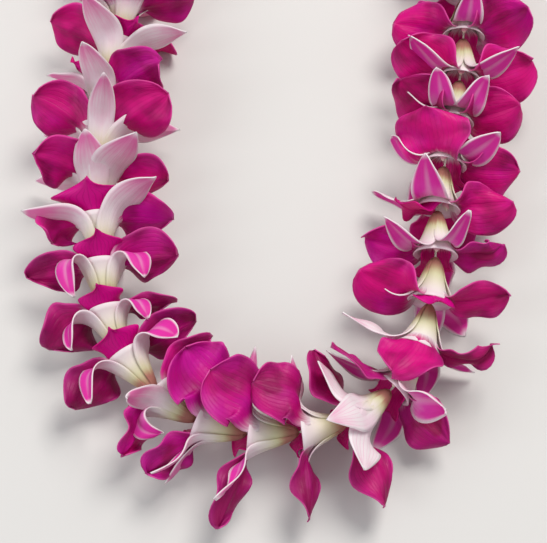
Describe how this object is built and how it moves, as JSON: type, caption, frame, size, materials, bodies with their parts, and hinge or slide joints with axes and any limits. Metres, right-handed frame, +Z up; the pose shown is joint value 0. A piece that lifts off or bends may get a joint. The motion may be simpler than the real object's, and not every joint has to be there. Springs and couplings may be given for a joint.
{
  "type": "fresh flower lei",
  "caption": "Fresh orchid lei: magenta and white blossoms strung nose to tail on a knotted thread, lying flat as a closed loop.",
  "frame": {"origin": "on the surface the lei lies on, under the middle of the loop's box", "axes": "+Z up from the surface, +Y along the loop from its rounded near end to its far end, where the knot is, +X to the right"},
  "size_m": [0.254, 0.4402, 0.06],
  "materials": {
    "orchid": "soft satin petals, magenta with white edges and cream cups",
    "thread": "matt cotton thread"
  },
  "bodies": {
    "root": {"blossom_01": "orchid", "blossom_02": "orchid", "blossom_03": "orchid", "blossom_04": "orchid", "blossom_05": "orchid", "blossom_06": "orchid", "blossom_07": "orchid", "blossom_08": "orchid", "blossom_09": "orchid", "blossom_10": "orchid", "blossom_11": "orchid", "blossom_12": "orchid", "blossom_13": "orchid", "blossom_14": "orchid", "blossom_15": "orchid", "blossom_16": "orchid", "blossom_17": "orchid", "blossom_18": "orchid", "blossom_19": "orchid", "blossom_20": "orchid", "blossom_21": "orchid", "blossom_22": "orchid", "blossom_23": "orchid", "blossom_24": "orchid", "blossom_25": "orchid", "blossom_26": "orchid", "blossom_27": "orchid", "blossom_28": "orchid", "blossom_29": "orchid", "blossom_30": "orchid", "blossom_31": "orchid", "blossom_32": "orchid", "blossom_33": "orchid", "blossom_34": "orchid", "blossom_35": "orchid", "blossom_36": "orchid", "blossom_37": "orchid", "blossom_38": "orchid", "blossom_39": "orchid", "blossom_40": "orchid", "string": "thread"}
  },
  "joints": []
}
